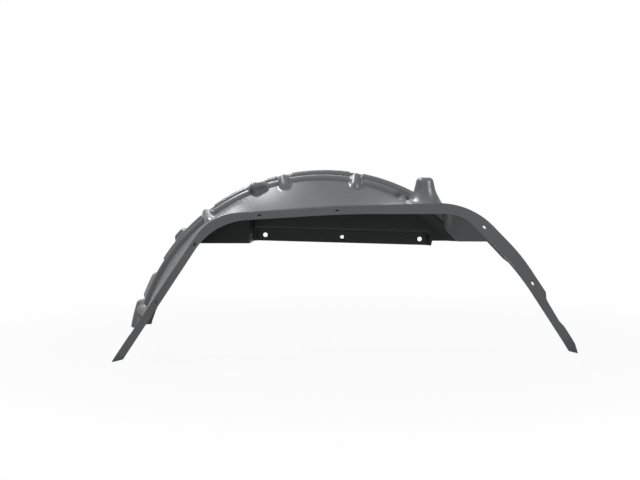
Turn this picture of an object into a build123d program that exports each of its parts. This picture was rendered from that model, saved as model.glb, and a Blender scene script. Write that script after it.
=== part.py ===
from build123d import *
import math
import os

os.makedirs("parts", exist_ok=True)

# Splash shield: the formed plastic liner of one wheel arch.
# Worked out about the wheel axis: X along the car, Y inboard from the flange face, Z up.
# At the end it is moved so that the middle of the inner hole row is the origin.

WALL = 2.5

# Flange band in front view, from the left tip over the top to the right tip
RIM_OUT = [(-447, 14), (-235, 328), (17, 345), (311, 354), (420, 242), (472, 164)]
RIM_OUT_TURN = [110, 900, 160, 400]
RIM_IN = [(-421, 21), (-228, 312), (48, 329), (292, 329), (411, 209), (523, 38)]
RIM_IN_TURN = [140, 2000, 75, 600]
RIGHT_STEP = [(473, 149), (502, 101), (510, 94), (536, 54), (544, 32)]
RIGHT_STEP_TURN = [6, 10, 10, 12, 2]
STEP_TURN = 4
TIP_TURN = 2
TIP_FOLD = 26
TIP_BEND = 18
SLOT_AT = [-67.8, -45.3, -21.9, 5.4, 48.5, 67.6]
SLOT_LONG = 8
SLOT_WIDE = 3.6

# Dome: a shoulder up to the crease, then two steps out to the raised panels
CREASE_R = 398
STEP_RISE = 12
CREASE_Y = 75
ROOF_EDGE = 4
BACK_EDGE = 26
BEVEL = [0, math.pi / 4, math.pi / 2]

# Second step: a ring of slightly shifted centre, with raised panels in front of it
RING_X = 6
RING_RISE = 8
RING_SPAN = (-57, 33)
RING_Y = 114
PANEL_Y = 100
PANEL_RISE = 2
PANEL_SLOPE = 0.8
PANELS = [(-57, -38.8), (-34.6, -22.5), (-17.4, -13.4), (-9.6, 8.6), (11.8, 33)]
LEG_PANELS = [((-80.5, -71.2), 17), ((-70.2, -62), 8)]

# Inboard wall: a near panel on the left and a deeper bay from the jog to the right
NEAR_DEPTH = 160
BAY_DEPTH = 240
JOG_X = -160
TRIM_DROP = 142
LEG_FOOT_Z = 75
LEG_TRIM = [(-78.6, 9.3), (-61.9, 21.8), (-46.7, 24.5)]
RIGHT_FOOT = [(228, 349.5), (298, 331), (414, 213)]
RIGHT_TURN = [100, 60]
RETURN_DEPTH = 8
RETURN_BEND = 20
RETURN_TOP = 16
RETURN_END = 38

# Bumps that stiffen the steps, placed by angle from straight up; a gusset's foot has its own
# distance in front of the crease and below it
GUSSETS = [(-73, 6, 6), (-37.4, 40, 2), (-11.6, 6, 6), (10.4, 6, 6)]
GUSSET_R = 11
TEAR_AT = (-21, -18)
TEAR_R = (12.5, 6)
KNOB_AT = (-49, -47)
KNOB_Y = 118
KNOB_R = 10
KNOB_RISE = 5
NUB_AT = 26
NUB_R = 8
NUB_REACH = 24

# Conical boss on the right shoulder
BOSS_X = 219.5
BOSS_Y = 52
BOSS_TOP_Z = 406
BOSS_TOP_R = 17.5
BOSS_FOOT_Z = 350
BOSS_FOOT_R = 22
BOSS_FLARE = 26
BOSS_EDGE = 5

# Mounting pad pressed inboard out of the bay wall
PAD_PRESS = 12
PAD_TILT = 1.6
PAD_X = 47.6
PAD_LIFT = 8.2
PAD_LONG = 386
PAD_UP = 12
PAD_DOWN = 13.5
PAD_DRAFT = 38
PAD_CORNER = 8
HOLE_PITCH = 177.5
HOLE_R = 5.25
OVAL_LONG = 11
OVAL_WIDE = 7.5

# Working values: the height the shoulder starts from before it is trimmed, how far joined pieces
# run into each other, how far the shoulder's foot stands outside the flange edge, the points its
# curve goes through, and a length that passes everything
FLOOR_Z = 60
OVERLAP = 20
FOOT_OUT = 1
FOOT_POINTS = 21
SPAN = 1500

STEP_R = CREASE_R + STEP_RISE
RING_R = STEP_R + RING_RISE
TRIM_Z = CREASE_R - TRIM_DROP
PAD_Z = TRIM_Z + PAD_LIFT


def front(y):
    """Front-view plane at depth y: local x is X and local y is Z."""
    return Plane(origin=(0, y, 0), x_dir=(1, 0, 0), z_dir=(0, -1, 0))


def polar(radius, degrees, y):
    """Point at a radius from the wheel axis, the angle counted from straight up to the right."""
    a = math.radians(degrees)
    return Vector(radius * math.sin(a), y, radius * math.cos(a))


def angle_of(p):
    """Angle of a point about the wheel axis, from straight up to the right."""
    return math.degrees(math.atan2(p.X, p.Z))


def prism(sketch, y0, y1):
    """Front-view sketch pushed from depth y0 to depth y1."""
    return extrude(front(y0) * sketch, amount=y0 - y1)


def on_line(p, q, z):
    """X where the front-view line through p and q reaches the height z."""
    return p[0] + (z - p[1]) * (q[0] - p[0]) / (q[1] - p[1])


def capsule(p, q, r0, r1):
    """Bar from p to q with bevelled round ends, its radius running from r0 to r1."""
    run = (q - p).length
    bevel = math.sqrt(0.5)
    half = [(-r0, 0), (-r0 * bevel, r0 * bevel), (0, r0)]
    half += [(run, r1), (run + r1 * bevel, r1 * bevel), (run + r1, 0)]
    bar = revolve(make_face(Polyline(*half, close=True)), Axis.X)
    return Plane(origin=p, x_dir=q - p, z_dir=(q - p).cross(p)) * bar


def shoulder(g):
    """Ruled wall from its foot on the flange up to the crease circle, set in by g."""
    left = (on_line(*RIM_OUT[:2], FLOOR_Z), FLOOR_Z)
    right = (on_line(*RIGHT_FOOT[1:], FLOOR_Z), FLOOR_Z)
    corners = [left, *RIM_OUT[1:3], *RIGHT_FOOT[:2], right]
    path = FilletPolyline(*corners, radius=[*RIM_OUT_TURN[:2], *RIGHT_TURN]).wire()
    low = []
    for i in range(FOOT_POINTS):
        t = i / (FOOT_POINTS - 1)
        outward = (path % t).rotate(Axis.Z, 90)
        p = path @ t + outward * (FOOT_OUT - g)
        low.append(Vector(p.X, 0, p.Y))
    angles = [angle_of(p) for p in low]
    first, last = angles[0], angles[-1]
    foot = Edge.make_spline(low, parameters=[(a - first) / (last - first) for a in angles])
    crest = [polar(CREASE_R - g, a, CREASE_Y) for a in (first, (first + last) / 2, last)]
    low_face = make_face(foot + Line(low[-1], low[0]))
    high_face = make_face(ThreePointArc(*crest) + Line(crest[2], crest[0]))
    if not g:
        return loft([low_face, high_face], ruled=True)
    in_front = Pos(0, -OVERLAP, 0) * low_face
    behind = Pos(0, g, 0) * high_face
    return loft([in_front, low_face, high_face, behind], ruled=True)


def roof(g, start, depth):
    """Round drum of the first step from start back to the inboard wall, set in by g.

    The back edge is round outside and bevelled twice inside.
    """
    top = STEP_R - g
    turn = BACK_EDGE - g
    edge = [(start, 0), (start, top - ROOF_EDGE), (start + ROOF_EDGE, top)]
    bevel = [(depth - BACK_EDGE + turn * math.sin(a), top - turn + turn * math.cos(a)) for a in BEVEL]
    edge += bevel if g else [(depth, top)]
    edge += [(depth - g, 0)]
    turns = [0 if g or p != (depth, top) else turn for p in edge]
    down = Plane(origin=(0, 0, 0), x_dir=(0, 1, 0), z_dir=(-1, 0, 0))
    return revolve(down * make_face(FilletPolyline(*edge, radius=turns, close=True)), Axis.Y)


def panel(g, span, radius, start_y, end_y):
    """Raised part of the roof over a span of angles, with sloping ends, set in by g."""
    sunk = STEP_R - OVERLAP
    slope = math.degrees(PANEL_SLOPE * (radius - sunk) / radius)
    inset = math.degrees(g / radius)
    low = [polar(sunk, a, 0) for a in (span[0] - slope / 2 + inset, span[1] + slope / 2 - inset)]
    ends = (span[0] + slope / 2 + inset, span[1] - slope / 2 - inset)
    top = [polar(radius - g, a, 0) for a in (ends[0], (ends[0] + ends[1]) / 2, ends[1])]
    low, top = [[(p.X, p.Z) for p in side] for side in (low, top)]
    outline = ThreePointArc(*top) + Polyline(top[2], low[1], low[0], top[0])
    return prism(make_face(outline), start_y + g, end_y - g)


def second_step(g):
    """The ring with its raised panels, and the two panels of the left leg, set in by g."""
    made = []
    for span in (RING_SPAN, *PANELS):
        radius = RING_R if span == RING_SPAN else RING_R + PANEL_RISE
        start_y = RING_Y if span == RING_SPAN else PANEL_Y
        made.append(panel(g, span, radius, start_y, NEAR_DEPTH - BACK_EDGE).moved(Pos(RING_X, 0, 0)))
    for span, rise in LEG_PANELS:
        made.append(panel(g, span, STEP_R + rise, PANEL_Y, NEAR_DEPTH - BACK_EDGE))
    return made[0] + made[1:]


def boss(g):
    """Conical boss with a wide flared foot; set in by g, it is the plain hollow inside."""
    base = BOSS_FOOT_Z - 2 * OVERLAP
    wide = BOSS_FOOT_R + BOSS_FLARE
    top = BOSS_TOP_Z - g
    foot = (BOSS_FOOT_R - g, BOSS_FOOT_Z)
    below = [(BOSS_FOOT_R - g, base)] if g else [(wide, base), (wide, BOSS_FOOT_Z)]
    points = [(0, base), *below, foot]
    points += [(BOSS_TOP_R - g, top - BOSS_EDGE), (BOSS_TOP_R - BOSS_EDGE, top), (0, top)]
    turns = [BOSS_FLARE if p == foot and not g else 0 for p in points]
    profile = make_face(FilletPolyline(*points, radius=turns, close=True))
    return Pos(BOSS_X, BOSS_Y, 0) * revolve(Plane.XZ * profile, Axis.Z)


def bumps():
    """Solid gussets over the first step, the long teardrop, the knob and the nub by the boss."""
    made = []
    for angle, reach, sink in GUSSETS:
        low = polar(CREASE_R - sink, angle, CREASE_Y - reach)
        made.append(capsule(low, polar(STEP_R, angle, CREASE_Y + GUSSET_R), GUSSET_R, GUSSET_R))
    made.append(capsule(*[polar(STEP_R, a, CREASE_Y) for a in TEAR_AT], *TEAR_R))
    made.append(capsule(*[polar(STEP_R + KNOB_RISE, a, KNOB_Y) for a in KNOB_AT], KNOB_R, KNOB_R))
    ends = [polar(CREASE_R - NUB_R, NUB_AT, CREASE_Y - NUB_REACH), polar(CREASE_R, NUB_AT, CREASE_Y)]
    made.append(capsule(*ends, NUB_R, NUB_R))
    return made


def pad(g):
    """Pressed pad, smaller at its inboard face, set in by g."""
    height = PAD_UP + PAD_DOWN + OVERLAP
    outline = Pos(0, PAD_UP - height / 2) * RectangleRounded(PAD_LONG - g, height - g, PAD_CORNER)
    placed = front(BAY_DEPTH + PAD_PRESS - g) * Pos(PAD_X, PAD_Z) * Rot(0, 0, -PAD_TILT) * outline
    return extrude(placed, amount=PAD_PRESS + g, taper=-PAD_DRAFT)


def wheel_space(g):
    """Everything inside the skin of the liner, set in by g."""
    bay = split(roof(g, PANEL_Y, BAY_DEPTH), Plane.YZ.offset(JOG_X + g), keep=Keep.TOP)
    body = roof(g, CREASE_Y + g, NEAR_DEPTH) + bay
    body += shoulder(g)
    body += second_step(g)
    body += boss(g)
    body += pad(g)
    if g == 0:
        for bump in bumps():
            body += bump
    return body


def trimmed(skin):
    """The skin with its open underside, the left leg strip and the right return cut to shape."""
    drop = math.tan(math.radians(PAD_TILT))
    pad_left = PAD_X - PAD_LONG / 2 - PAD_PRESS
    pad_right = PAD_X + PAD_LONG / 2 + PAD_PRESS
    leg = [polar(CREASE_R - inset, angle, 0) for angle, inset in LEG_TRIM]
    under = [(-SPAN, LEG_FOOT_Z), *[(p.X, p.Z) for p in leg], (pad_left, TRIM_Z)]
    under += [(x, PAD_Z - PAD_DOWN - drop * (x - PAD_X)) for x in (pad_left, pad_right)]
    under += [(pad_right, TRIM_Z), (pad_right, -SPAN), (-SPAN, -SPAN)]
    skin -= prism(make_face(Polyline(*under, close=True)), -SPAN, SPAN)
    end, bend = TRIM_Z - RETURN_END, TRIM_Z - RETURN_BEND
    side = [(-OVERLAP, end), (0, end), (RETURN_DEPTH, bend)]
    side += [(RETURN_DEPTH, TRIM_Z + RETURN_TOP), (BAY_DEPTH, TRIM_Z), (SPAN, TRIM_Z)]
    side += [(SPAN, -SPAN), (-OVERLAP, -SPAN)]
    right = extrude(Plane.YZ * make_face(Polyline(*side, close=True)), SPAN)
    return skin - Pos(pad_right, 0, 0) * right


def band_place(degrees):
    """Middle of the flange band on a ray from the wheel axis, and the turn of the band there."""
    hits = []
    for rim in (RIM_IN, RIM_OUT):
        for p, q in zip(rim, rim[1:]):
            a = math.radians(degrees)
            side = [c[0] * math.cos(a) - c[1] * math.sin(a) for c in (p, q)]
            if side[0] < 0 <= side[1]:
                t = side[0] / (side[0] - side[1])
                hits.append((p[0] + t * (q[0] - p[0]), p[1] + t * (q[1] - p[1])))
                turn = math.degrees(math.atan2(q[1] - p[1], q[0] - p[0]))
    return (hits[0][0] + hits[1][0]) / 2, (hits[0][1] + hits[1][1]) / 2, turn


def flange():
    """Flat band with its fastener slots, the tips folded inboard."""
    points = [*RIM_OUT, *RIGHT_STEP, *reversed(RIM_IN)]
    turns = [TIP_TURN, *RIM_OUT_TURN, STEP_TURN, *RIGHT_STEP_TURN]
    turns += [TIP_TURN, *reversed(RIM_IN_TURN), TIP_TURN]
    band = make_face(FilletPolyline(*points, radius=turns, close=True))
    for degrees in SLOT_AT:
        x, z, turn = band_place(degrees)
        band -= Pos(x, z) * Rot(0, 0, turn) * SlotOverall(SLOT_LONG, SLOT_WIDE)
    sheet = Pos(0, WALL / 2, 0) * Box(2 * SPAN, WALL, 2 * SPAN)
    for near, far in (RIM_OUT[1::-1], RIM_IN[-2:]):
        along = Vector(far[0] - near[0], 0, far[1] - near[1]).normalized()
        corner = Vector(far[0], 0, far[1])
        fold = Plane(origin=corner - along * TIP_FOLD, x_dir=(0, 1, 0), z_dir=along)
        tip = split(sheet, fold, keep=Keep.TOP).rotate(Axis(fold.origin, fold.y_dir), TIP_BEND)
        sheet = split(sheet, fold, keep=Keep.BOTTOM) + tip
    return sheet & prism(band, -WALL, BAY_DEPTH)


def holes():
    """Two round holes and the oval between them, through the pad."""
    row = Pos(PAD_X, PAD_Z) * Rot(0, 0, -PAD_TILT)
    cut = row * SlotOverall(OVAL_LONG, OVAL_WIDE)
    for side in (-1, 1):
        cut += row * Pos(side * HOLE_PITCH, 0) * Circle(HOLE_R)
    return prism(cut, BAY_DEPTH, BAY_DEPTH + 2 * PAD_PRESS)


shield = trimmed(wheel_space(0) - wheel_space(WALL)) + flange() - holes()
shield = Pos(-PAD_X, -BAY_DEPTH - PAD_PRESS, -PAD_Z) * shield
print(shield.is_valid, len(shield.solids()), shield.volume, shield.bounding_box())
export_step(shield, "parts/splash_shield.step")
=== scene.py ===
# %% [markdown]
# A splash shield is the moulded plastic liner of a wheel arch: a flat flange that follows the
# fender lip, a stepped dome over the tyre, and a wall on the inboard side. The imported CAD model
# is the frame that every piece here is set in, in metres, with +Y inboard and +Z up.

# %% Load the frame
import bmesh
import bpy
import math
import numpy as np
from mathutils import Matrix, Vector


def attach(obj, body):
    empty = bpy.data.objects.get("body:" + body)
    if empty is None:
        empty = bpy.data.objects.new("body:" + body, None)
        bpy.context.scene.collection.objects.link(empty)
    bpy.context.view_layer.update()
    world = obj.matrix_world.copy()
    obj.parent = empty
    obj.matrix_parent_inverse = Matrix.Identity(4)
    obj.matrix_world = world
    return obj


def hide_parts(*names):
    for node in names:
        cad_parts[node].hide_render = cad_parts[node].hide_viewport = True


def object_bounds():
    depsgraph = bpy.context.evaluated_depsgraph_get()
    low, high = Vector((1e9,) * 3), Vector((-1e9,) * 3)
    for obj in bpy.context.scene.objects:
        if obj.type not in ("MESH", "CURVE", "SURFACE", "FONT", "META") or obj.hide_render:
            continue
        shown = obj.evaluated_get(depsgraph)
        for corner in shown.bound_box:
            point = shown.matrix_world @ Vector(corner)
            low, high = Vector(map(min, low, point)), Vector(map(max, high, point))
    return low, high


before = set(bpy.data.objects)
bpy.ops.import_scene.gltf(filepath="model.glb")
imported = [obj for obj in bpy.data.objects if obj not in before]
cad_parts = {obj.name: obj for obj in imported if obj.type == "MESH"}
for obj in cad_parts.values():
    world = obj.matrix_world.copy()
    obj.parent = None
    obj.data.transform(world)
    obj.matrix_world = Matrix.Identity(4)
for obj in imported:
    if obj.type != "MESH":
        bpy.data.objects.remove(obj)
cad_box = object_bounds()
scene = bpy.context.scene
print("CAD box", [tuple(round(c, 4) for c in corner) for corner in cad_box])

# %% [markdown]
# The camera stands 4 degrees above the flange's level and 2.6 m in front of it, straight on, which
# is where the picture seems to have been taken from. The angle of view comes from the distance and
# from 2.1 mm of flange for each of the 640 pixels across the picture.

# %% Camera
FLANGE_Y = -0.252
CAMERA_REACH = 2.6
CAMERA_UP = math.radians(4.0)
MM_PER_PIXEL = 2.1
PICTURE_WIDE = 640
SENSOR = 36.0
AIM = Vector((-0.0518, FLANGE_Y, 0.0103))

camera_data = bpy.data.cameras.new("camera")
camera_data.sensor_width = SENSOR
camera_data.lens = SENSOR * CAMERA_REACH * 1000 / (MM_PER_PIXEL * PICTURE_WIDE)
camera = bpy.data.objects.new("camera", camera_data)
camera.location = AIM + CAMERA_REACH * Vector((0, -math.cos(CAMERA_UP), math.sin(CAMERA_UP)))
camera.rotation_euler = (math.pi / 2 - CAMERA_UP, 0, 0)
scene.collection.objects.link(camera)
scene.camera = camera
print("lens", round(camera_data.lens, 2), "mm")

# %% [markdown]
# Floor and world are built from the same few nodes. Rays that carry the picture, straight from the
# camera or mirrored in the plastic, have to find a white background. Rays that only carry light
# have to find something dark, or the inside of the arch would fill with light from below. The
# Light Path node tells the two apart, and a mix of two shaders answers each.

# %% Node helpers
WHITE = (1, 1, 1, 1)


def node(tree, kind, **values):
    """New node in a tree, with its named inputs or properties set."""
    made = tree.nodes.new(kind)
    for name, value in values.items():
        if name in made.inputs:
            made.inputs[name].default_value = value
        else:
            setattr(made, name, value)
    return made


def remap(tree, source, span, result, **options):
    """Node that takes a socket's values from one span to another."""
    limits = {"From Min": span[0], "From Max": span[1], "To Min": result[0], "To Max": result[1]}
    made = node(tree, "ShaderNodeMapRange", **options, **limits)
    tree.links.new(source, made.inputs["Value"])
    return made


def background_rays(tree):
    """Node that gives 1 for camera, glossy and transmission rays, and 0 for the rays that light."""
    path = node(tree, "ShaderNodeLightPath")
    first = node(tree, "ShaderNodeMath", operation="MAXIMUM")
    both = node(tree, "ShaderNodeMath", operation="MAXIMUM")
    tree.links.new(path.outputs["Is Camera Ray"], first.inputs[0])
    tree.links.new(path.outputs["Is Glossy Ray"], first.inputs[1])
    tree.links.new(first.outputs[0], both.inputs[0])
    tree.links.new(path.outputs["Is Transmission Ray"], both.inputs[1])
    return both


def show_mix(tree, share, lit, shown, out_kind):
    """Lead a mix of two shaders to the tree's output: shown by its share, lit by the rest."""
    mix = node(tree, "ShaderNodeMixShader")
    out = node(tree, out_kind)
    tree.links.new(share.outputs[0], mix.inputs[0])
    tree.links.new(lit.outputs[0], mix.inputs[1])
    tree.links.new(shown.outputs[0], mix.inputs[2])
    tree.links.new(mix.outputs[0], out.inputs["Surface"])


print("node helpers ready")

# %% [markdown]
# The floor is a sheet of pale paper just under the leg tips. Far from the part it is shown wholly
# white. Near it a small share of the matt paper shows through, which carries the shadow.

# %% Floor
FLOOR_GAP = 0.0005
FLOOR_Z = cad_box[0][2] - FLOOR_GAP
FLOOR_HALF = 9.0
FLOOR_MATT = (0.12, 0.12, 0.12, 1)
# Distances from the origin, and the share of white that the paper shows at each.
FADE_REACH = (0.55, 1.3)
FADE_WHITE = (0.94, 1.0)

corners = FLOOR_HALF * np.array([(-1, -1, 0), (1, -1, 0), (1, 1, 0), (-1, 1, 0)])
floor_mesh = bpy.data.meshes.new("floor")
floor_mesh.from_pydata((corners + (0, 0, FLOOR_Z)).tolist(), [], [(0, 1, 2, 3)])
floor = bpy.data.objects.new("floor", floor_mesh)
scene.collection.objects.link(floor)

paper = bpy.data.materials.new("floor_paper")
paper.use_nodes = True
tree = paper.node_tree
tree.nodes.clear()
place = node(tree, "ShaderNodeTexCoord")
reach = node(tree, "ShaderNodeVectorMath", operation="LENGTH")
tree.links.new(place.outputs["Object"], reach.inputs[0])
fade = remap(tree, reach.outputs["Value"], FADE_REACH, FADE_WHITE, interpolation_type="SMOOTHSTEP")
share = node(tree, "ShaderNodeMath", operation="MULTIPLY")
tree.links.new(background_rays(tree).outputs[0], share.inputs[0])
tree.links.new(fade.outputs["Result"], share.inputs[1])
matt = node(tree, "ShaderNodeBsdfDiffuse", Color=FLOOR_MATT)
glow = node(tree, "ShaderNodeEmission", Color=WHITE, Strength=1.0)
show_mix(tree, share, matt, glow, "ShaderNodeOutputMaterial")
floor_mesh.materials.append(paper)
print("floor at", round(FLOOR_Z, 4))

# %% [markdown]
# Behind the paper stands a white world. It lights the part only faintly, and evenly from all sides,
# so that the lamps alone shape it.

# %% World
WORLD_LIGHT = 0.03

world = bpy.data.worlds.new("studio")
scene.world = world
world.use_nodes = True
tree = world.node_tree
tree.nodes.clear()
faint = node(tree, "ShaderNodeBackground", Color=WHITE, Strength=WORLD_LIGHT)
white = node(tree, "ShaderNodeBackground", Color=WHITE, Strength=1.0)
show_mix(tree, background_rays(tree), faint, white, "ShaderNodeOutputWorld")
print("world light", WORLD_LIGHT)

# %% [markdown]
# Four soft lamps light the part. One above draws the highlight on the left of the shoulder, and one
# in front keeps the flange a mid grey. A small one at the right makes the streak on the boss, and a
# weak one behind catches the upper faces of the steps. The front lamp would be mirrored in every
# upright face of the steps, so it is hidden from glossy rays.

# %% Lamps
# Place, the point it faces, width and height, all in metres, and the power in watts.
LAMPS = {
    "top_lamp": ((-1.05, 0.38, 1.9), (-0.15, -0.2, 0.05), (0.4, 0.4), 110),
    "front_lamp": ((-0.9, -2.6, 1.5), (-0.05, -0.2, 0.0), (1.6, 1.6), 185),
    "side_lamp": ((1.75, -1.25, 1.15), (0.15, -0.2, 0.1), (0.35, 0.35), 75),
    "back_lamp": ((-0.3, 1.8, 1.2), (-0.05, -0.15, 0.1), (1.0, 0.35), 10),
}
MATT_LAMP = "front_lamp"

for name, (place, target, (wide, tall), watts) in LAMPS.items():
    lamp_data = bpy.data.lights.new(name, "AREA")
    lamp_data.shape = "RECTANGLE"
    lamp_data.size = wide
    lamp_data.size_y = tall
    lamp_data.energy = watts
    lamp = bpy.data.objects.new(name, lamp_data)
    lamp.location = place
    lamp.rotation_euler = (Vector(target) - Vector(place)).to_track_quat("-Z", "Y").to_euler()
    lamp.visible_camera = False
    lamp.visible_glossy = name != MATT_LAMP
    scene.collection.objects.link(lamp)
scene.view_settings.view_transform = "Standard"
print("lamps", sorted(LAMPS))

# %% [markdown]
# The whole shield is one sheet of plastic, so it is made as one surface over a grid. Every column
# of the grid is an angle about the wheel axis, counted from straight up, and every row is a place
# along the section: across the flange, up the shoulder, over the steps and the roof, round the
# back edge and down the inboard wall. Sizes are in millimetres about the wheel axis, and `placed`
# brings them into the frame. Box modelling would need every bend by hand; the formulas give all
# of them at once.

# %% Sizes of the shield
WHEEL_AXIS = np.array([47.6, 252.0, 264.2])
WALL = 2.5

# Front-view outlines, (X, Z), each with the turn radius at its inner corners: the flange's outer
# edge, its inner edge, and the line that the shoulder stands on.
RIM_OUT = [(-447, 14), (-235, 328), (17, 345), (311, 354), (420, 242), (472, 164)]
RIM_OUT += [(473, 149), (502, 101), (510, 94), (536, 54), (544, 32)]
RIM_OUT_TURN = [110, 900, 160, 400, 4, 6, 10, 10, 12]
RIM_IN = [(-421, 21), (-228, 312), (48, 329), (292, 329), (411, 209), (523, 38)]
RIM_IN_TURN = [140, 2000, 75, 600]
FOOT = [*RIM_OUT[:3], (228, 349.5), (298, 331), (530, 95)]
FOOT_TURN = [*RIM_OUT_TURN[:2], 100, 60]

# Section over the tyre: radii, and depths behind the flange.
CREASE_R, CREASE_Y, STEP_R = 398.0, 75.0, 410.0
PANEL_Y, RING_Y, STEP_RUN = 98.8, 112.0, 9.5
NEAR_DEPTH, BAY_DEPTH, BACK_EDGE = 160.0, 240.0, 26.0

# The jog's place, and the cut edges: heights, radii, and the leg's cut as (angle, radius).
JOG_X, TRIM_Z, LEG_FOOT_Z, LEG_FOOT_R = -160.0, 256.0, 75.0, 413.0
LEG_TRIM = [(-78.6, 388.7), (-61.9, 376.2), (-46.7, 373.5)]
RETURN_DEPTH, RETURN_TOP, RETURN_BEND, RETURN_END = 8.0, 272.0, 236.0, 218.0
RETURN_X = 356.0

# Fasteners: the slots' angles on the flange, then the pad and its three holes. Half is half the
# straight length of a hole, 0 where it is round.
SLOT_AT = [-67.8, -45.3, -21.9, 5.4, 48.5, 67.6]
SLOT_HALF, SLOT_R = 2.2, 1.8
PAD_X, PAD_Z, PAD_TILT, PAD_PRESS = 47.6, 264.2, math.radians(1.6), 12.0
PAD_HALF, PAD_UP, PAD_DOWN, PAD_SLOPE = 193.0, 12.0, 13.5, 9.4
HOLE_AT = [-177.5, 0, 177.5]
HOLE_HALF_R = [(0, 5.25), (1.75, 3.75), (0, 5.25)]


def placed(points):
    """Millimetres about the wheel axis to metres in the frame."""
    return (points - WHEEL_AXIS) / 1000


def ease(t):
    """Smooth step: 0 below 0, 1 above 1, and 3t^2 - 2t^3 between."""
    t = np.clip(t, 0, 1)
    return t * t * (3 - 2 * t)


print("shield from", RIM_OUT[0], "to", RIM_OUT[-1], "mm about the wheel axis")

# %% [markdown]
# Each outline is drawn as a designer would, with straight runs and a radius at every corner. The
# grid needs it as a radius over the angle about the wheel axis, so it is walked in even steps and
# read back by interpolation.

# %% Outlines as radii
ARC_POINTS, RIM_POINTS = 24, 4000


def rounded(points, turns):
    """Outline through the points with each inner corner replaced by an arc of its turn radius.

    The arc's centre lies on the corner's bisector, radius / sin(half angle) from the corner.
    """
    p = np.array(points, float)
    t = np.linspace(0, 1, ARC_POINTS)[:, None]
    made = [p[:1]]
    for a, b, c, radius in zip(p, p[1:], p[2:], turns):
        u = (a - b) / np.linalg.norm(a - b)
        w = (c - b) / np.linalg.norm(c - b)
        half = np.arccos(np.clip(u @ w, -1, 1)) / 2
        centre = b + (u + w) / np.linalg.norm(u + w) * radius / np.sin(half)
        first = b + u * radius / np.tan(half) - centre
        last = b + w * radius / np.tan(half) - centre
        sweep = np.pi - 2 * half
        arc = (np.sin((1 - t) * sweep) * first + np.sin(t * sweep) * last) / np.sin(sweep)
        made.append(centre + arc)
    made.append(p[-1:])
    return np.concatenate(made)


def rim(points, turns):
    """Radius of a rounded outline as a function of the angle from straight up, in degrees."""
    p = rounded(points, turns)
    run = np.concatenate([[0], np.cumsum(np.linalg.norm(np.diff(p, axis=0), axis=1))])
    s = np.linspace(0, run[-1], RIM_POINTS)
    x, z = np.interp(s, run, p[:, 0]), np.interp(s, run, p[:, 1])
    angle, radius = np.degrees(np.arctan2(x, z)), np.hypot(x, z)
    return lambda degrees: np.interp(degrees, angle, radius)


rim_out, rim_in, foot = rim(RIM_OUT, RIM_OUT_TURN), rim(RIM_IN, RIM_IN_TURN), rim(FOOT, FOOT_TURN)
print("band width at the top", round(float(rim_out(0) - rim_in(0)), 1), "mm")

# %% [markdown]
# Between the flange and the roof the shield is a height over the drum: the radius at an angle and
# a depth. The shoulder is a straight line from the flange's edge to the crease, a first step goes
# all round, and the ring and its raised panels make the second one. Each step rises as a quarter
# ellipse, upright at its foot and level at its top, which gives the crisp crease and the round
# upper edge of a moulding. The two panels of the left leg swell up gently instead.

# %% Radius of the dome
# Spans are angles in degrees. A leg panel also has its height.
RING_SPAN = (-57, 33)
PANELS = [(-57, -38.8), (-34.6, -22.5), (-17.4, -13.4), (-9.6, 8.6), (11.8, 33)]
LEG_PANELS = [((-80.5, -71.2), 17), ((-70.2, -62), 8)]
RING_RISE, PANEL_RISE, LEAN = 8, 10, 6
SWELL_Y, SWELL_RUN, SWELL_SOFT = 84, 28, 2.0
STEPS_END, STEPS_FADE = 133, 4


def between(angle, span, soft=1.0):
    """1 inside a span of angles and 0 outside it, with ends that slope over soft degrees."""
    return ease((angle - span[0]) / soft + 0.5) * ease((span[1] - angle) / soft + 0.5)


def step_up(run):
    """Rise of a step, 0 to 1, over a run behind its foot: a quarter ellipse, upright at the foot."""
    t = np.clip(1 - run / STEP_RUN, 0, 1)
    return np.where(run > 0, np.sqrt(1 - t * t), 0)


def dome_radius(angle, y):
    """Radius at an angle in degrees and a depth y: shoulder line, first step, ring and panels.

    The ring lies a little right of the wheel axis, so its rise leans with the sine of the angle.
    """
    up = np.minimum(y / CREASE_Y, 1)
    base = foot(angle) + (CREASE_R - foot(angle)) * up
    base = base + (STEP_R - CREASE_R) * step_up(y - CREASE_Y)
    lean = LEAN * np.sin(np.radians(angle))
    rise = between(angle, RING_SPAN) * (RING_RISE + lean) * step_up(y - RING_Y)
    for span in PANELS:
        rise = np.maximum(rise, between(angle, span) * (PANEL_RISE + lean) * step_up(y - PANEL_Y))
    swell = ease((y - SWELL_Y) / SWELL_RUN)
    for span, height in LEG_PANELS:
        rise = np.maximum(rise, between(angle, span, SWELL_SOFT) * height * swell)
    return base + rise * (1 - ease((y - STEPS_END) / STEPS_FADE))


print("panel radius at the top", float(dome_radius(np.array(0.0), np.array(PANEL_Y + STEP_RUN))))

# %% [markdown]
# The columns stand close together where something happens: at gussets, panel ends, the jog in the
# inboard wall, the boss and the holes. Around each hole a block of columns has fixed places, so
# that a ring of grid points can be moved onto the hole's outline.

# %% Columns of the grid
LEFT_END, RIGHT_END = math.degrees(math.atan2(*RIM_OUT[0])), math.degrees(math.atan2(*RIM_OUT[-1]))
DOME_LEFT = -math.degrees(math.acos(LEG_FOOT_Z / LEG_FOOT_R))
DOME_RIGHT = math.degrees(math.atan2(RETURN_X, RETURN_TOP))
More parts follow.
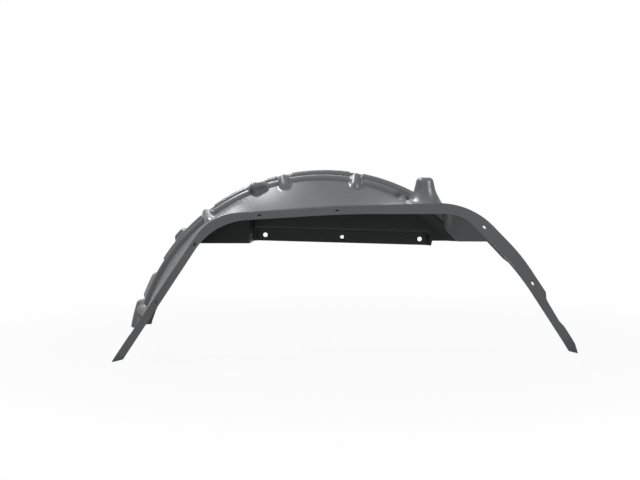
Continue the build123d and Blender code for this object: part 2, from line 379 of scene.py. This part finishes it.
# Up to WELD_END the dome grows out of the flange's edge. Steps and gaps are in degrees, like the
# spans with fine columns. The blocks are places in millimetres about a hole or the jog.
WELD_END = 2.5
COLUMN_STEP, FINE_STEP = 0.75, 0.28
FINE = [(-76, -69), (-58.5, -55.5), (-51, -45), (-40, -33), (-24, -12), (-10.5, -8.5)]
FINE += [(7.5, 13), (24, 27.5), (27.5, 40)]
SLOT_BLOCK, PAD_BLOCK = np.linspace(-4.6, 4.6, 7), np.linspace(-5.5, 5.5, 5)
JOG_BLOCK = np.linspace(-4, 4, 13)
OFF_FIXED, OFF_LOOSE = 0.12, 0.08
TINY = 1e-6


def band_point(degrees, v=0.5):
    """Point of the flange at an angle, v of the way from its inner to its outer edge."""
    r = rim_in(degrees) + (rim_out(degrees) - rim_in(degrees)) * v
    a = np.radians(degrees)
    return np.stack([r * np.sin(a), r * np.cos(a)], -1)


def band_speed(degrees, half=0.1):
    """Millimetres along the middle of the flange for each degree, at an angle."""
    return np.linalg.norm(band_point(degrees + half) - band_point(degrees - half)) / (2 * half)


def roof_angle(x):
    """Angle at which the roof has this X."""
    return np.degrees(np.arcsin(x / STEP_R))


slot_columns = [at + SLOT_BLOCK / band_speed(at) for at in SLOT_AT]
pad_columns = [roof_angle(PAD_X + at * math.cos(PAD_TILT) + PAD_BLOCK) for at in HOLE_AT]
fixed = [*slot_columns, *pad_columns, [LEFT_END, DOME_LEFT, WELD_END, DOME_RIGHT, RIGHT_END]]
loose = [np.arange(LEFT_END, RIGHT_END, COLUMN_STEP), *[np.arange(a, b, FINE_STEP) for a, b in FINE]]
loose.append(roof_angle(JOG_X + JOG_BLOCK))
loose = np.unique(np.round(np.concatenate(loose), 4))
gap = np.min(np.abs(loose[:, None] - np.concatenate(fixed)[None, :]), axis=1)
inside = np.any([(loose > c[0]) & (loose < c[-1]) for c in fixed[:-1]], axis=0)
loose = loose[(gap > OFF_FIXED) & ~inside]
loose = loose[np.concatenate([[True], np.diff(loose) > OFF_LOOSE])]
columns = np.sort(np.concatenate([loose, *fixed]))
print("columns", len(columns))

# %% [markdown]
# The flange is the flat front of the sheet. Its rows run from the inner edge to the outer one, the
# ends are sheared to the slant of the cut tips, and past a fold line each tip bends inboard. The
# slots are left out of the grid, and the ring of points round each is moved onto its outline.

# %% Flange grid
# Rows as shares of the way from the inner to the outer edge. The slots reach SLOT_SPAN rows to each
# side of the middle one.
BAND_ROWS = np.array([0, 0.1, 0.24, 0.4, 0.45, 0.5, 0.55, 0.6, 0.74, 0.84, 0.92, 1.0])
MIDDLE_ROW, SLOT_SPAN = 5, 2
# The angle where each tip's shear starts, and the shear at the end, in degrees.
LEFT_SHEAR, RIGHT_SHEAR = (-84, 1.07), (82, 0.78)
TIPS = [RIM_OUT[:2], RIM_IN[:-3:-1]]
TIP_FOLD, TIP_BEND, FOLD_SOFT = 26.0, math.tan(math.radians(18)), 1.5
END_SPREAD = 1.6


def ring_outline(rows, cols, half, radius):
    """Points of a block of the grid on a slot's outline: straight for half on each side, then round.

    Each point's direction from the block's middle gives its place on the outline.
    """
    down, across = np.meshgrid(np.linspace(-1, 1, rows), np.linspace(-1, 1, cols), indexing="ij")
    turn = np.arctan2(down, across)
    along = half * np.clip(END_SPREAD * across, -1, 1) + radius * np.cos(turn)
    return along, radius * np.sin(turn), np.maximum(abs(down), abs(across)) > 1 - TINY


angle, v = np.meshgrid(columns, BAND_ROWS)
start, shear = LEFT_SHEAR
angle = angle + (1 - v) * shear * ease((start - angle) / (start - LEFT_END))
start, shear = RIGHT_SHEAR
angle = angle - (1 - v) * shear * ease((angle - start) / (RIGHT_END - start))
flat = band_point(angle, v)

band_open = np.zeros((len(BAND_ROWS) - 1, len(columns) - 1), bool)
first_row, last_row = MIDDLE_ROW - SLOT_SPAN, MIDDLE_ROW + SLOT_SPAN
for block in slot_columns:
    at = np.searchsorted(columns, block[0] - TINY)
    end = at + len(block) - 1
    here = np.s_[first_row:last_row + 1, at:end + 1]
    centre, course = flat[MIDDLE_ROW, (at + end) // 2], flat[MIDDLE_ROW, end] - flat[MIDDLE_ROW, at]
    course = course / np.linalg.norm(course)
    across = np.array([-course[1], course[0]])
    along, up, on_ring = ring_outline(2 * SLOT_SPAN + 1, len(block), SLOT_HALF, SLOT_R)
    shifted = centre + along[..., None] * course + up[..., None] * across
    flat[here] = np.where(on_ring[..., None], shifted, flat[here])
    band_open[first_row:last_row, at:end] = True

fold = np.zeros(flat.shape[:2])
for tip, up_leg in TIPS:
    course = np.array(tip, float) - up_leg
    course = course / np.linalg.norm(course)
    past = np.maximum((flat - tip) @ course + TIP_FOLD, 0)
    near_tip = np.sign(flat[..., 0]) == np.sign(tip[0])
    fold = fold + near_tip * TIP_BEND * (np.hypot(past, FOLD_SOFT) - FOLD_SOFT)
band = np.stack([flat[..., 0], fold, flat[..., 1]], -1)
print("flange grid", band.shape[:2], "cells left out", int(band_open.sum()))

# %% [markdown]
# The dome's rows start on the flange's outer edge and stand close together on the three steps,
# spaced so that each quarter ellipse is cut into nearly equal turns. Where the sheet is cut, at the
# foot of the left leg and along the right side, the columns are drawn together or spread so that
# the last one lies on the cut. The boss would pull a few cells up into long slivers, so the cells
# round it are first drawn in towards its flank.

# %% Dome grid
STEP_TURNS = np.radians([0, 8, 18, 28, 38, 48, 58, 68, 78, 90])
STEP_ROWS = STEP_RUN * (1 - np.cos(STEP_TURNS))
FRONT_Y = np.concatenate([
    np.linspace(0, RETURN_DEPTH, 4), np.linspace(RETURN_DEPTH, 71, 19)[1:], [73, 74.4],
    CREASE_Y + STEP_ROWS, [87.5, 91.5, 95.5, 97.8],
    PANEL_Y + STEP_ROWS, [110, 111.4],
    RING_Y + STEP_ROWS, [124.5, 129], np.linspace(132.5, 138, 5),
])
LEFT_HOLD, RIGHT_HOLD = -60.0, 35.0
CUT_ROUNDS = 30
BOSS_X, BOSS_Y = 219.5, 52.0
# Plan distances from the boss's axis before and after drawing in. Rows up to FOOT_KEEP stay.
DRAW_FROM, DRAW_TO = (0, 16, 40, 56), (0, 16.5, 24.5, 56)
DRAW_ROUNDS, FOOT_KEEP = 12, 2.9


def on_drum(radius, angle, y):
    """Point at a radius and an angle about the wheel axis, at a depth y."""
    a = np.radians(angle)
    return np.stack([radius * np.sin(a), y + 0 * a, radius * np.cos(a)], -1)


def side_cut(y):
    """Height of the cut along the right side at a depth y."""
    return np.interp(y, [RETURN_DEPTH, BAY_DEPTH], [RETURN_TOP, TRIM_Z])


def cut_angle(height, y, guess):
    """Angle at which the dome has this height at a depth y: angle = acos(height / radius), repeated."""
    for _ in range(CUT_ROUNDS):
        guess = np.sign(guess) * np.degrees(np.arccos(height / dome_radius(guess, y)))
    return guess


def fitted(angle, left, right):
    """Columns' angles with the ends brought to left and right, and the middle kept."""
    low = LEFT_HOLD + (angle - LEFT_HOLD) * (left - LEFT_HOLD) / (DOME_LEFT - LEFT_HOLD)
    high = RIGHT_HOLD + (angle - RIGHT_HOLD) * (right - RIGHT_HOLD) / (DOME_RIGHT - RIGHT_HOLD)
    return np.where(angle < LEFT_HOLD, low, np.where(angle > RIGHT_HOLD, high, angle))


def drawn_in(angle, y):
    """Grid round the boss pulled towards its flank: a plan distance in DRAW_FROM becomes DRAW_TO's."""
    x = dome_radius(angle, y) * np.sin(np.radians(angle)) - BOSS_X
    d = np.maximum(np.hypot(x, y - BOSS_Y), TINY)
    near = d < DRAW_FROM[-1]
    k = np.where(near, np.interp(d, DRAW_FROM, DRAW_TO) / d, 1)
    y = np.where(y > FOOT_KEEP, BOSS_Y + (y - BOSS_Y) * k, y)
    for _ in range(DRAW_ROUNDS):
        turned = np.degrees(np.arcsin(np.clip((BOSS_X + x * k) / dome_radius(angle, y), -1, 1)))
        angle = np.where(near, turned, angle)
    return angle, y


spread = columns[(columns > DOME_LEFT - TINY) & (columns < DOME_RIGHT + TINY)]
angle, y = np.meshgrid(spread, FRONT_Y)
left = cut_angle(LEG_FOOT_Z, FRONT_Y, np.full(len(FRONT_Y), DOME_LEFT))
left[0] = DOME_LEFT
right = cut_angle(side_cut(FRONT_Y), FRONT_Y, np.full(len(FRONT_Y), DOME_RIGHT))
angle, y = drawn_in(fitted(angle, left[:, None], right[:, None]), y)
front = on_drum(dome_radius(angle, y), angle, y)
print("dome front grid", front.shape[:2])

# %% [markdown]
# Behind the steps the roof turns down over a round back edge into the inboard wall. Left of the jog
# it does so early, right of it the bay is deeper, and a smooth step in X between the two makes
# the jog's side. On the wall the columns hang straight down, so that the jog, the pad and its
# holes line up with the grid.

# %% Back edge
# Rows on the way from the steps to the wall, closer together on the round edge.
BACK_PLACES = np.array([14, 34, 54, 68, 75, 79, 84, 89, 94, 99, 104, 109, 113, 116.8])
BACK_RUN = BACK_PLACES[:, None] / BACK_PLACES[-1]
JOG_RUN = 7
UPRIGHT_FROM, UPRIGHT_RUN = -50, 18

on_leg = spread < LEG_TRIM[-1][0]
leg_end = np.interp(spread, *np.array(LEG_TRIM).T)
edge_r = STEP_R - BACK_EDGE
stop_r = np.where(on_leg, np.maximum(leg_end, edge_r), edge_r)
stop_turn = np.arccos((stop_r - edge_r) / BACK_EDGE)
roof_turn = math.asin((FRONT_Y[-1] - NEAR_DEPTH + BACK_EDGE) / BACK_EDGE)
near_turn = roof_turn + BACK_RUN * (stop_turn - roof_turn)
near_y = NEAR_DEPTH - BACK_EDGE * (1 - np.sin(near_turn))
near_r = STEP_R - BACK_EDGE * (1 - np.cos(near_turn))

flat_run = BAY_DEPTH - BACK_EDGE - FRONT_Y[-1]
bay_run = BACK_RUN * (flat_run + BACK_EDGE * np.pi / 2)
bay_turn = np.maximum(bay_run - flat_run, 0) / BACK_EDGE
bay_y = FRONT_Y[-1] + np.minimum(bay_run, flat_run) + BACK_EDGE * np.sin(bay_turn)
bay_r = STEP_R - BACK_EDGE * (1 - np.cos(bay_turn))

roof_x = STEP_R * np.sin(np.radians(fitted(spread, left[-1], right[-1])))
past_jog = ease((roof_x - JOG_X) / JOG_RUN + 0.5)
back_y = near_y + (bay_y - near_y) * past_jog
back_r = near_r + (bay_r - near_r) * past_jog

end_left = -np.degrees(np.arccos(LEG_FOOT_Z / back_r))
end_right = np.degrees(np.arccos(side_cut(back_y) / back_r))
fan = fitted(spread, end_left, end_right)
hang = np.degrees(np.arcsin(np.clip(roof_x / back_r, -1, 1)))
hold = np.degrees(np.arcsin(STEP_R * math.sin(math.radians(RIGHT_HOLD)) / back_r))
share = np.clip((spread - RIGHT_HOLD) / (DOME_RIGHT - RIGHT_HOLD), 0, 1)
hang = np.where(spread > RIGHT_HOLD, hold + share * (end_right - hold), hang)
upright = ease((spread - UPRIGHT_FROM) / UPRIGHT_RUN)
back_angle = fan + (hang - fan) * upright
back = on_drum(back_r, back_angle, back_y)
print("back edge grid", back.shape[:2])

# %% [markdown]
# The inboard wall hangs from the back edge. Behind the left leg it is only a strip that ends on the
# leg's cut, and in the bay it goes down to the trim or to the pad's lower edge. Its lowest rows
# keep their height above the cut, so that one of them runs through the middle of the pad's holes.

# %% Inboard wall
# Heights of the lowest rows above the cut. A wall below SHORT_WALL has them closer together.
PAD_ROWS = np.array([37, 34.5, 32.5, 30.5, 28.5, 26.5, 24.5, 22, 19, 16.25, 13.5, 10.75, 8, 4, 0])
WALL_ROWS = 9
SHORT_WALL = 60

top = back[-1]
pad_low = PAD_Z - PAD_DOWN - math.tan(PAD_TILT) * (top[:, 0] - PAD_X)
on_pad = (top[:, 0] > PAD_X - PAD_HALF - PAD_PRESS) & (top[:, 0] < PAD_X + PAD_HALF + PAD_PRESS)
cut_z = np.minimum(np.where(on_pad, pad_low, TRIM_Z), top[:, 2])
trim_r = TRIM_Z / np.cos(np.radians(back_angle[-1]))
cut_r = np.where(on_leg, np.minimum(leg_end, back_r[-1]), trim_r)
radial_end = on_drum(cut_r, back_angle[-1], back_y[-1])
hang_end = np.stack([top[:, 0], back_y[-1], cut_z], -1)
bottom = radial_end + (hang_end - radial_end) * upright[:, None]
drop = np.linalg.norm(top - bottom, axis=1)
scale = np.minimum(1, drop / SHORT_WALL)
above = np.linspace(1, 0, WALL_ROWS + 2)[1:-1, None]
above = PAD_ROWS[0] * scale + above * (drop - PAD_ROWS[0] * scale)
lift = np.concatenate([above, PAD_ROWS[:, None] * scale]) / np.maximum(drop, TINY)
wall = bottom + (top - bottom) * lift[..., None]
print("wall grid", wall.shape[:2])

# %% [markdown]
# The pad is a shallow tray pressed into the bay wall, tilted slightly, where fasteners hold the
# shield to the body. Its press is a height over the wall, and its holes are made as the slots of
# the flange are, with a ring of points on each outline.

# %% Pad and its holes
HOLE_SPAN = 2


def pad_press(x, z):
    """How far the wall is pressed inboard: full inside the pad, falling over the slope round it."""
    across = (x - PAD_X) * math.cos(PAD_TILT) - (z - PAD_Z) * math.sin(PAD_TILT)
    above = (x - PAD_X) * math.sin(PAD_TILT) + (z - PAD_Z) * math.cos(PAD_TILT)
    out = np.hypot(np.maximum(abs(across) - PAD_HALF, 0), np.maximum(above - PAD_UP, 0))
    return PAD_PRESS * (1 - ease(out / PAD_SLOPE))


hole_row = WALL_ROWS + int(np.argmin(abs(PAD_ROWS - PAD_DOWN)))
first_row, last_row = hole_row - HOLE_SPAN, hole_row + HOLE_SPAN
wall_open = np.zeros((len(wall), len(spread) - 1), bool)
for block, middle, (half, radius) in zip(pad_columns, HOLE_AT, HOLE_HALF_R):
    at = np.searchsorted(spread, block[0] - TINY)
    end = at + len(block) - 1
    here = np.s_[first_row:last_row + 1, at:end + 1]
    along, up, on_ring = ring_outline(2 * HOLE_SPAN + 1, len(block), half, radius)
    x = PAD_X + (middle + along) * math.cos(PAD_TILT) - up * math.sin(PAD_TILT)
    z = PAD_Z - (middle + along) * math.sin(PAD_TILT) - up * math.cos(PAD_TILT)
    shifted = np.stack([x, wall[here][..., 1], z], -1)
    wall[here] = np.where(on_ring[..., None], shifted, wall[here])
    wall_open[first_row + 1:last_row + 1, at:end] = True
wall[..., 1] += pad_press(wall[..., 0], wall[..., 2]) * past_jog
print("wall cells left out", int(wall_open.sum()))

# %% [markdown]
# The gussets, the long teardrop, the knob, the nub and the conical boss are moulded into the sheet.
# Each is a distance field: how far a point is from a round bar or a cone. Every grid point starts
# well outside the sheet, above and in front of it, and walks back by the distance to the nearest
# of the sheet and the bumps. The paths share one slant, so that those off treads and off risers
# never cross. A soft minimum of the distances gives the hollow fillet at each bump's foot. A few
# rounds of averaging with the neighbours then settle the raised points.

# %% Gussets and boss
# A gusset's angle, its reach down the shoulder and how far its low end sinks.
GUSSETS = [(-73.5, 34, 9), (-37.4, 40, 7), (-11.6, 6, 6), (10.4, 6, 6)]
GUSSET_R = 11.0
TEAR_AT, TEAR_R, TEAR_SINK = (-20.8, -17.8), (12.0, 6.0), 1
KNOB_AT, KNOB_Y, KNOB_R, KNOB_RISE = (-49, -47), 118, 10, 5
NUB_AT, NUB_R, NUB_REACH = 26, 8, 24
# The boss's radii at these heights, its top, and the dish in it as depth and radius.
BOSS_PROFILE = [(340, 346, 352, 360, 369, 378, 390, 403), (47, 40.5, 35.5, 30.2, 26, 22.8, 20, 17.8)]
BOSS_TOP, BOSS_DISH, BOSS_EDGE, BOSS_SLOPE = 406.0, (2.0, 8), 10.0, 0.7
BOSS_NEAR = 60
BUMP_FILLET, BOSS_FILLET = 5.0, 8.0
WALK_FROM, WALK_LEAN, WALK_PACE, WALK_ROUNDS = 75.0, math.radians(40), 0.8, 60
FLANGE_FADE = 6
SETTLE, SETTLE_FROM, SETTLE_ROUNDS = 0.5, 1.5, 3


def soft_min(a, b, width):
    """Minimum of two distances, rounded where they differ by less than width."""
    return np.minimum(a, b) - np.maximum(width - abs(a - b), 0) ** 2 / (4 * width)


def bar_distance(points, ends, radii):
    """Distance from a round bar between two ends whose radius runs from radii[0] to radii[1]."""
    p, q = ends
    t = np.clip((points - p) @ (q - p) / ((q - p) @ (q - p)), 0, 1)
    off = np.linalg.norm(points - p - t[..., None] * (q - p), axis=-1)
    return off - (radii[0] + (radii[1] - radii[0]) * t)


def boss_off(points):
    """Distance in plan from the boss's axis."""
    return np.hypot(points[..., 0] - BOSS_X, points[..., 1] - BOSS_Y)


def boss_distance(points):
    """Distance from the conical boss: the soft maximum of its flank and its slightly dished top."""
    off, z = boss_off(points), points[..., 2]
    flank = off - np.interp(z, *BOSS_PROFILE)
    depth, radius = BOSS_DISH
    cap = z - BOSS_TOP + depth * np.exp(-(off / radius) ** 2)
    return -soft_min(-BOSS_SLOPE * flank, -cap, BOSS_EDGE)


bars = []
for at, reach, sink in GUSSETS:
    low = on_drum(CREASE_R - sink, at, CREASE_Y - reach)
    bars.append(((low, on_drum(STEP_R, at, CREASE_Y + GUSSET_R)), (GUSSET_R, GUSSET_R)))
bars.append(([on_drum(STEP_R - TEAR_SINK, a, CREASE_Y) for a in TEAR_AT], TEAR_R))
bars.append(([on_drum(STEP_R + KNOB_RISE, a, KNOB_Y) for a in KNOB_AT], (KNOB_R, KNOB_R)))
nub_low = on_drum(CREASE_R - NUB_R, NUB_AT, CREASE_Y - NUB_REACH)
bars.append(((nub_low, on_drum(CREASE_R, NUB_AT, CREASE_Y)), (NUB_R, NUB_R)))


def bump_height(points, course):
    """How far each point moves along its course: it walks in from WALK_FROM by the soft minimum."""
    height = np.full(points.shape[:2], WALK_FROM)
    for _ in range(WALK_ROUNDS):
        here = points + height[..., None] * course
        distance = WALK_PACE * height
        for ends, radii in bars:
            distance = soft_min(distance, bar_distance(here, ends, radii), BUMP_FILLET)
        distance = soft_min(distance, boss_distance(here), BOSS_FILLET)
        height = height - WALK_PACE * distance
    return np.maximum(height, 0) * ease(points[..., 1] / FLANGE_FADE)


def with_bumps(points):
    """The sheet with its bumps: points moved by their bump height, then settled among neighbours."""
    outward = points * (1, 0, 1)
    outward = outward / np.linalg.norm(outward, axis=-1, keepdims=True)
    course = outward * math.cos(WALK_LEAN) - np.array([0, math.sin(WALK_LEAN), 0])
    course = np.where((boss_off(points) < BOSS_NEAR)[..., None], (0, 0, 1), course)
    height = bump_height(points, course)
    raised = points + height[..., None] * course
    share = SETTLE * ease(height[1:-1, 1:-1, None] / SETTLE_FROM)
    for _ in range(SETTLE_ROUNDS):
        mean = raised[:-2, 1:-1] + raised[2:, 1:-1] + raised[1:-1, :-2] + raised[1:-1, 2:]
        raised[1:-1, 1:-1] += share * (mean / 4 - raised[1:-1, 1:-1])
    return raised


front = with_bumps(front)
print("highest point", round(float(front[..., 2].max()), 1), "mm above the wheel axis")

# %% [markdown]
# A narrow return hangs from the shoulder along the right leg and runs out to nothing inside the
# flange's thickness. It is a small grid of its own that starts on the dome's last column.

# %% Return
RETURN_COLUMNS = 16
RETURN_LEAST = 0.02
FREE_FOOT_Y = 0.5 * WALL

tall = np.linspace(RETURN_TOP, RETURN_END, RETURN_COLUMNS)
strip_rows = FRONT_Y <= RETURN_DEPTH + TINY
deep = np.clip((tall - RETURN_END) / (RETURN_BEND - RETURN_END), RETURN_LEAST, 1)
strip_y = FREE_FOOT_Y + FRONT_Y[strip_rows][:, None] * deep * (1 - FREE_FOOT_Y / RETURN_DEPTH)
strip_z = np.broadcast_to(tall, strip_y.shape)
strip_angle = cut_angle(strip_z, strip_y, np.full(strip_y.shape, DOME_RIGHT))
strip = on_drum(dome_radius(strip_angle, strip_y), strip_angle, strip_y)
strip[:, 0] = front[strip_rows, -1]
strip[0, :, 1] = FREE_FOOT_Y
print("return grid", strip.shape[:2])

# %% [markdown]
# On the left and at the top the dome grows out of the flange's outer edge, in one bend. Further
# right the flange spreads past the shoulder's foot, and the dome stands on its back, its foot in
# the flange's thickness. One round of averaging across the seam rounds the bend.

# %% Dome on the flange
dome = np.concatenate([front, back, wall])
dome_open = np.zeros((len(dome) - 1, len(spread) - 1), bool)
dome_open[-len(wall):] = wall_open
dome[0, :, 1] = np.where(spread > WELD_END, FREE_FOOT_Y, dome[0, :, 1])
welded = np.flatnonzero(spread <= WELD_END)
edge_columns = np.searchsorted(columns, spread[welded] - TINY)
bend = np.concatenate([band[-3:, edge_columns], dome[1:4, welded]])
bend[1:-1] = (bend[:-2] + 2 * bend[1:-1] + bend[2:]) / 4
band[-2:, edge_columns], dome[1:3, welded] = bend[1:3], bend[3:5]
dome[0, welded] = band[-1, edge_columns]
print("columns welded to the flange", len(welded), "of", len(spread))

# %% [markdown]
# All the grids become one mesh, in which points that coincide are joined. The sheet gets its
# thickness from Solidify, and Bevel rounds the cut edges a little so that they catch the light.

# %% One sheet
JOIN_WITHIN, LEAST_EDGE = 2e-5, 1e-5
EDGE_ROUND, EDGE_SEGMENTS, EDGE_ANGLE = 0.0005, 2, math.radians(55)


def grid_faces(grid, first, left_out):
    """Quads of a grid of points numbered from first, without the cells that are left out."""
    index = first + np.arange(grid.shape[0] * grid.shape[1]).reshape(grid.shape[:2])
    quads = np.stack([index[:-1, :-1], index[:-1, 1:], index[1:, 1:], index[1:, :-1]], -1)
    return quads[~left_out]


def sheet_mesh(name, grids):
    """Mesh of several grids in the frame: points in use only, and those that coincide joined."""
    points, faces = [], []
    for grid, left_out in grids:
        faces.append(grid_faces(grid, sum(len(p) for p in points), left_out))
        points.append(grid.reshape(-1, 3))
    used, faces = np.unique(np.concatenate(faces), return_inverse=True)
    points = placed(np.concatenate(points)[used])
    mesh = bpy.data.meshes.new(name)
    mesh.from_pydata(points.tolist(), [], faces.reshape(-1, 4).tolist())
    made = bmesh.new()
    made.from_mesh(mesh)
    bmesh.ops.remove_doubles(made, verts=made.verts, dist=JOIN_WITHIN)
    bmesh.ops.dissolve_degenerate(made, edges=made.edges, dist=LEAST_EDGE)
    made.to_mesh(mesh)
    made.free()
    return mesh


strip_open = np.zeros((len(strip) - 1, RETURN_COLUMNS - 1), bool)
grids = [(band, band_open), (dome, dome_open), (strip, strip_open)]
mesh = sheet_mesh("splash_shield_skin", grids)
shield = bpy.data.objects.new("splash_shield_skin", mesh)
scene.collection.objects.link(shield)
thick = shield.modifiers.new("thickness", "SOLIDIFY")
thick.thickness = WALL / 1000
thick.offset = -1
soft_edge = shield.modifiers.new("edges", "BEVEL")
soft_edge.width = EDGE_ROUND
soft_edge.segments = EDGE_SEGMENTS
soft_edge.limit_method = "ANGLE"
soft_edge.angle_limit = EDGE_ANGLE
mesh.shade_smooth()
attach(shield, "root")
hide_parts("splash_shield")
bpy.context.view_layer.update()
evaluated = shield.evaluated_get(bpy.context.evaluated_depsgraph_get())
ready = evaluated.to_mesh()
ready.calc_loop_triangles()
print("points", len(mesh.vertices), "triangles when finished", len(ready.loop_triangles))
evaluated.to_mesh_clear()

# %% [markdown]
# The plastic is black with a satin surface: a fine moulded grain, and a tone and a roughness that
# vary a little from place to place. One broad noise drives both, so that the paler places are also
# the duller ones.

# %% Black plastic
TONES = ((0.028, 0.029, 0.030, 1), (0.039, 0.041, 0.043, 1))
ROUGHNESS = (0.32, 0.42)
SPECULAR = 0.2

plastic = bpy.data.materials.new("black_plastic")
plastic.use_nodes = True
tree = plastic.node_tree
shader = tree.nodes["Principled BSDF"]
shader.inputs["Specular IOR Level"].default_value = SPECULAR
place = node(tree, "ShaderNodeTexCoord")
cloud = node(tree, "ShaderNodeTexNoise", Scale=9.0, Detail=4.0, Roughness=0.6)
tree.links.new(place.outputs["Object"], cloud.inputs["Vector"])
tone = node(tree, "ShaderNodeMix", data_type="RGBA")
tone.inputs["A"].default_value, tone.inputs["B"].default_value = TONES
tree.links.new(cloud.outputs["Fac"], tone.inputs["Factor"])
tree.links.new(tone.outputs["Result"], shader.inputs["Base Color"])
gloss = remap(tree, cloud.outputs["Fac"], (0, 1), ROUGHNESS)
tree.links.new(gloss.outputs["Result"], shader.inputs["Roughness"])
grain = node(tree, "ShaderNodeTexNoise", Scale=900.0, Detail=2.0)
tree.links.new(place.outputs["Object"], grain.inputs["Vector"])
bump = node(tree, "ShaderNodeBump", Strength=0.04, Distance=0.0006)
tree.links.new(grain.outputs["Fac"], bump.inputs["Height"])
tree.links.new(bump.outputs["Normal"], shader.inputs["Normal"])
shield.data.materials.append(plastic)
print("material", plastic.name)
